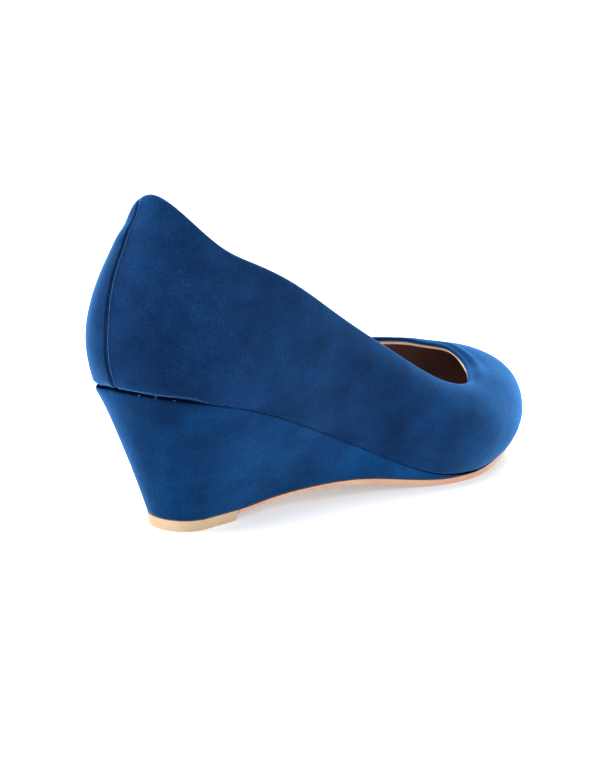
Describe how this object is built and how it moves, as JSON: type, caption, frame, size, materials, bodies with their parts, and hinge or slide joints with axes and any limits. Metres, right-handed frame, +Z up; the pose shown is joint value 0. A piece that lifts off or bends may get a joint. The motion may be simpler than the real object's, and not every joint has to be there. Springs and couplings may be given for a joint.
{
  "type": "wedge pump",
  "caption": "Women's low-cut slip-on pump in suede with an almond toe and a covered wedge heel that narrows to a small top piece, on a thin sole.",
  "frame": {"origin": "middle of the bounding box in plan, on the floor that the heel and the forefoot stand on", "axes": "+X from the heel to the toe along the shoe, +Y to the inner side of the foot, +Z up"},
  "size_m": [0.2482, 0.0854, 0.1114],
  "materials": {
    "blue_suede": "napped matte suede",
    "insole_leather": "smooth matte lining leather",
    "tan_sole": "satin synthetic sole",
    "beige_rubber": "satin hard rubber"
  },
  "bodies": {
    "root": {"upper": "blue_suede", "wedge": "blue_suede", "insole": "insole_leather", "outsole": "tan_sole", "heel_tip": "beige_rubber"}
  },
  "joints": []
}
